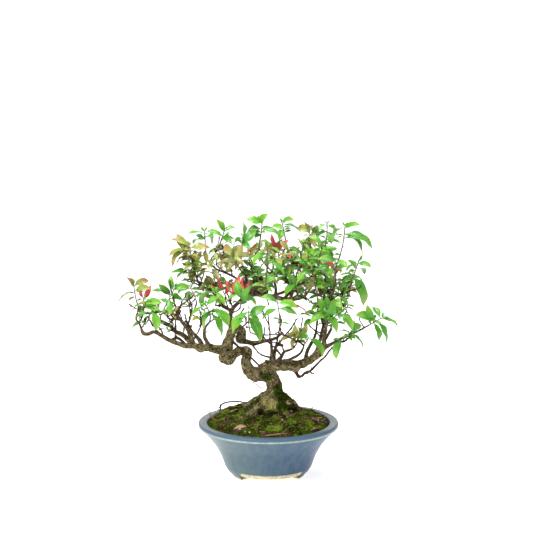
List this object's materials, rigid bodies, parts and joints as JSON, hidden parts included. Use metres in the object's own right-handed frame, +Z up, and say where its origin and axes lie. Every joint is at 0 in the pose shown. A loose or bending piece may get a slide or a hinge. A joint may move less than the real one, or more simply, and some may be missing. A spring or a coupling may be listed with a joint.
{
  "type": "potted star jasmine bonsai",
  "caption": "Small bonsai tree with a twisted trunk, arching limbs and leafy shoots, growing in mossy soil in a round glazed pot on low feet.",
  "frame": {"origin": "middle of the base of the bounding box, on the surface that the pot's feet stand on", "axes": "+Z up, +X to the right of the pot's front, which is seen along +Y"},
  "size_m": [0.404, 0.2434, 0.391],
  "materials": {
    "glazed_ceramic": "blue-grey glaze over unglazed beige clay at the foot",
    "mossy_soil": "dark potting soil under green moss",
    "bark": "rough grey-brown bark with moss at the trunk's foot",
    "leaf_green": "glossy mid-green leaves on reddish young stems",
    "leaf_bronze": "young bronze and olive leaves",
    "leaf_red": "old leaves turned red"
  },
  "bodies": {
    "root": {"pot": "glazed_ceramic", "soil": "mossy_soil", "wood": "bark", "leaves_left_end": "leaf_bronze", "leaves_left_low": "leaf_green", "leaves_left_hanging": "leaf_green", "leaves_left_middle": "leaf_green", "leaves_left_broad": "leaf_green", "leaves_upper_left": "leaf_bronze", "leaves_upper_left_tall": "leaf_green", "leaves_upper_left_low": "leaf_green", "leaves_top_left": "leaf_green", "leaves_top_upright": "leaf_green", "leaves_top_high": "leaf_green", "leaves_front_tall": "leaf_green", "leaves_top_middle": "leaf_green", "leaves_top_right_young": "leaf_bronze", "leaves_top_right": "leaf_green", "leaves_top_right_end": "leaf_green", "leaves_right_pale": "leaf_green", "leaves_right_inner": "leaf_green", "leaves_top_right_back": "leaf_green", "leaves_right_outer": "leaf_green", "leaves_right_deep": "leaf_green", "leaves_right_drooping": "leaf_green", "leaves_right_star": "leaf_green", "leaves_right_front": "leaf_green", "leaves_right_end": "leaf_green", "leaves_right_low": "leaf_green", "leaves_middle_low": "leaf_green", "leaves_middle_under": "leaf_bronze", "leaves_front_middle": "leaf_green", "leaves_middle_left": "leaf_green", "leaves_yellow": "leaf_green", "leaves_left_front": "leaf_green", "leaves_front_hanging": "leaf_green", "leaves_middle_small": "leaf_green", "leaves_right_narrow": "leaf_green", "leaves_right_cluster": "leaf_green", "leaves_right_olive": "leaf_bronze", "leaves_right_young": "leaf_bronze", "leaves_right_under": "leaf_green", "leaves_middle_back": "leaf_green", "leaves_top_inner": "leaf_bronze", "leaves_inner_left": "leaf_bronze", "leaves_back_left": "leaf_green", "leaves_back_left_high": "leaf_green", "leaves_back_high": "leaf_green", "leaves_back_right_high": "leaf_green", "leaves_back_right": "leaf_green", "leaves_back_middle": "leaf_green", "leaves_red_left": "leaf_red", "leaves_red_inner_left": "leaf_red", "leaves_red_inner": "leaf_red", "leaves_red_strip": "leaf_red", "leaves_red_top": "leaf_red", "leaves_red_high": "leaf_red", "leaves_red_upper_right": "leaf_red", "leaves_red_orange": "leaf_red", "leaves_red_far_right": "leaf_red"}
  },
  "joints": []
}
